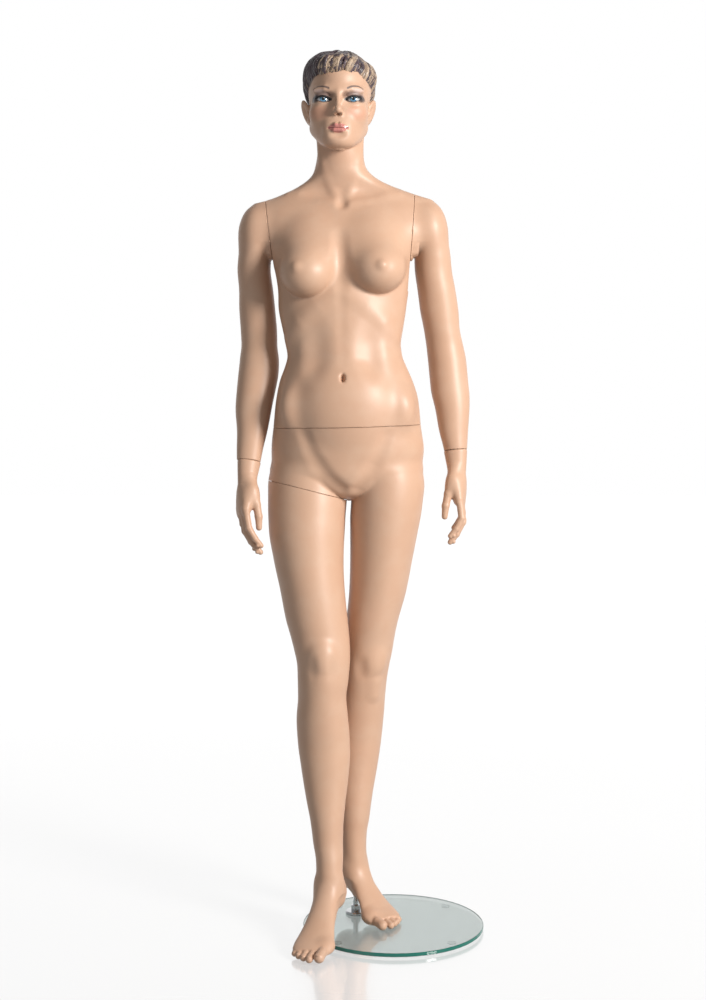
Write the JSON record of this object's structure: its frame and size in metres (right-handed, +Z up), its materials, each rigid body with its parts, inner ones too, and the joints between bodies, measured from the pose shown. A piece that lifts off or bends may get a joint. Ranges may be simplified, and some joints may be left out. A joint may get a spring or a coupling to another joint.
{
  "type": "full body display mannequin",
  "caption": "Standing female display figure with head and sculpted hair, detachable arms, hands, torso and leg, on a round glass base with a foot rod.",
  "frame": {"origin": "centre of the footprint box of the whole object, on the surface that it stands on", "axes": "+Z up, the figure faces -Y, its right side is at -X"},
  "size_m": [0.5196, 0.4232, 1.824],
  "materials": {
    "painted_skin": "satin flesh-tone lacquer on fibreglass",
    "board": "raw fibreboard",
    "zinc_steel": "turned, zinc plated",
    "chrome": "polished chrome",
    "clear_rubber": "soft translucent",
    "glass": "clear float glass, polished edge"
  },
  "bodies": {
    "base": {"glass_base": "glass", "base_pad_1": "clear_rubber", "base_pad_2": "clear_rubber", "base_pad_3": "clear_rubber", "base_pad_4": "clear_rubber", "base_flange": "chrome", "flange_gasket": "clear_rubber", "flange_set_screw": "zinc_steel", "base_rod": "chrome", "base_bolt": "zinc_steel", "base_washer": "zinc_steel"},
    "lower_body": {"lower_body_shell": "painted_skin", "pelvis_waist_plate": "board", "pelvis_thigh_plate": "board", "waist_spigot": "zinc_steel", "thigh_spigot": "zinc_steel", "foot_tube": "zinc_steel", "foot_set_screw": "zinc_steel"},
    "right_leg": {"right_leg_shell": "painted_skin", "leg_thigh_plate": "board", "thigh_socket": "zinc_steel"},
    "waist_turntable": {"waist_collar": "zinc_steel"},
    "upper_body": {"upper_torso_shell": "painted_skin", "torso_waist_plate": "board", "waist_socket": "zinc_steel", "torso_shoulder_plate_right": "board", "torso_shoulder_plate_left": "board", "shoulder_spigot_right": "zinc_steel", "shoulder_spigot_left": "zinc_steel"},
    "shoulder_turntable_right": {"shoulder_collar_right": "zinc_steel"},
    "arm_right": {"right_arm_shell": "painted_skin", "arm_shoulder_plate_right": "board", "shoulder_socket_right": "zinc_steel", "wrist_plate_right": "board", "wrist_spigot_right": "zinc_steel"},
    "wrist_turntable_right": {"wrist_collar_right": "zinc_steel"},
    "hand_right": {"right_hand": "painted_skin", "wrist_socket_right": "zinc_steel"},
    "shoulder_turntable_left": {"shoulder_collar_left": "zinc_steel"},
    "arm_left": {"left_arm_shell": "painted_skin", "arm_shoulder_plate_left": "board", "shoulder_socket_left": "zinc_steel", "wrist_plate_left": "board", "wrist_spigot_left": "zinc_steel"},
    "wrist_turntable_left": {"wrist_collar_left": "zinc_steel"},
    "hand_left": {"left_hand": "painted_skin", "wrist_socket_left": "zinc_steel"}
  },
  "joints": [
    {"name": "figure_lift", "type": "slide", "parent": "base", "child": "lower_body", "axis": [0, 0, 1], "range_m": [0, 0.18]},
    {"name": "leg_twist", "type": "hinge", "parent": "lower_body", "child": "right_leg", "pos_m": [-0.11325, 0.04358, 0.925], "axis": [-0.2418, -0.0774, -0.9672], "range_deg": [0, 12]},
    {"name": "waist_turn", "type": "hinge", "parent": "lower_body", "child": "waist_turntable", "pos_m": [-0.02725, 0.04158, 1.058], "axis": [-0.0232, 0, 0.9997], "range_deg": [-25, 25]},
    {"name": "torso_lift", "type": "slide", "parent": "waist_turntable", "child": "upper_body", "axis": [-0.0232, 0, 0.9997], "range_m": [0, 0.06]},
    {"name": "arm_turn_right", "type": "hinge", "parent": "upper_body", "child": "shoulder_turntable_right", "pos_m": [-0.18925, 0.07158, 1.467], "axis": [-0.992, 0, -0.126], "range_deg": [-25, 70]},
    {"name": "arm_pull_right", "type": "slide", "parent": "shoulder_turntable_right", "child": "arm_right", "axis": [-0.992, 0, -0.126], "range_m": [0, 0.045]},
    {"name": "hand_turn_right", "type": "hinge", "parent": "arm_right", "child": "wrist_turntable_right", "pos_m": [-0.23025, 0.02808, 0.986], "axis": [-0.1001, -0.2342, -0.967], "range_deg": [-30, 30]},
    {"name": "hand_pull_right", "type": "slide", "parent": "wrist_turntable_right", "child": "hand_right", "axis": [-0.1001, -0.2342, -0.967], "range_m": [0, 0.03]},
    {"name": "arm_turn_left", "type": "hinge", "parent": "upper_body", "child": "shoulder_turntable_left", "pos_m": [0.10775, 0.07158, 1.477], "axis": [-0.9975, 0, 0.071], "range_deg": [-25, 70]},
    {"name": "arm_pull_left", "type": "slide", "parent": "shoulder_turntable_left", "child": "arm_left", "axis": [0.9975, 0, -0.071], "range_m": [0, 0.045]},
    {"name": "hand_turn_left", "type": "hinge", "parent": "arm_left", "child": "wrist_turntable_left", "pos_m": [0.19875, 0.06058, 1.007], "axis": [0.071, -0.143, -0.9872], "range_deg": [-30, 30]},
    {"name": "hand_pull_left", "type": "slide", "parent": "wrist_turntable_left", "child": "hand_left", "axis": [0.071, -0.143, -0.9872], "range_m": [0, 0.03]}
  ]
}
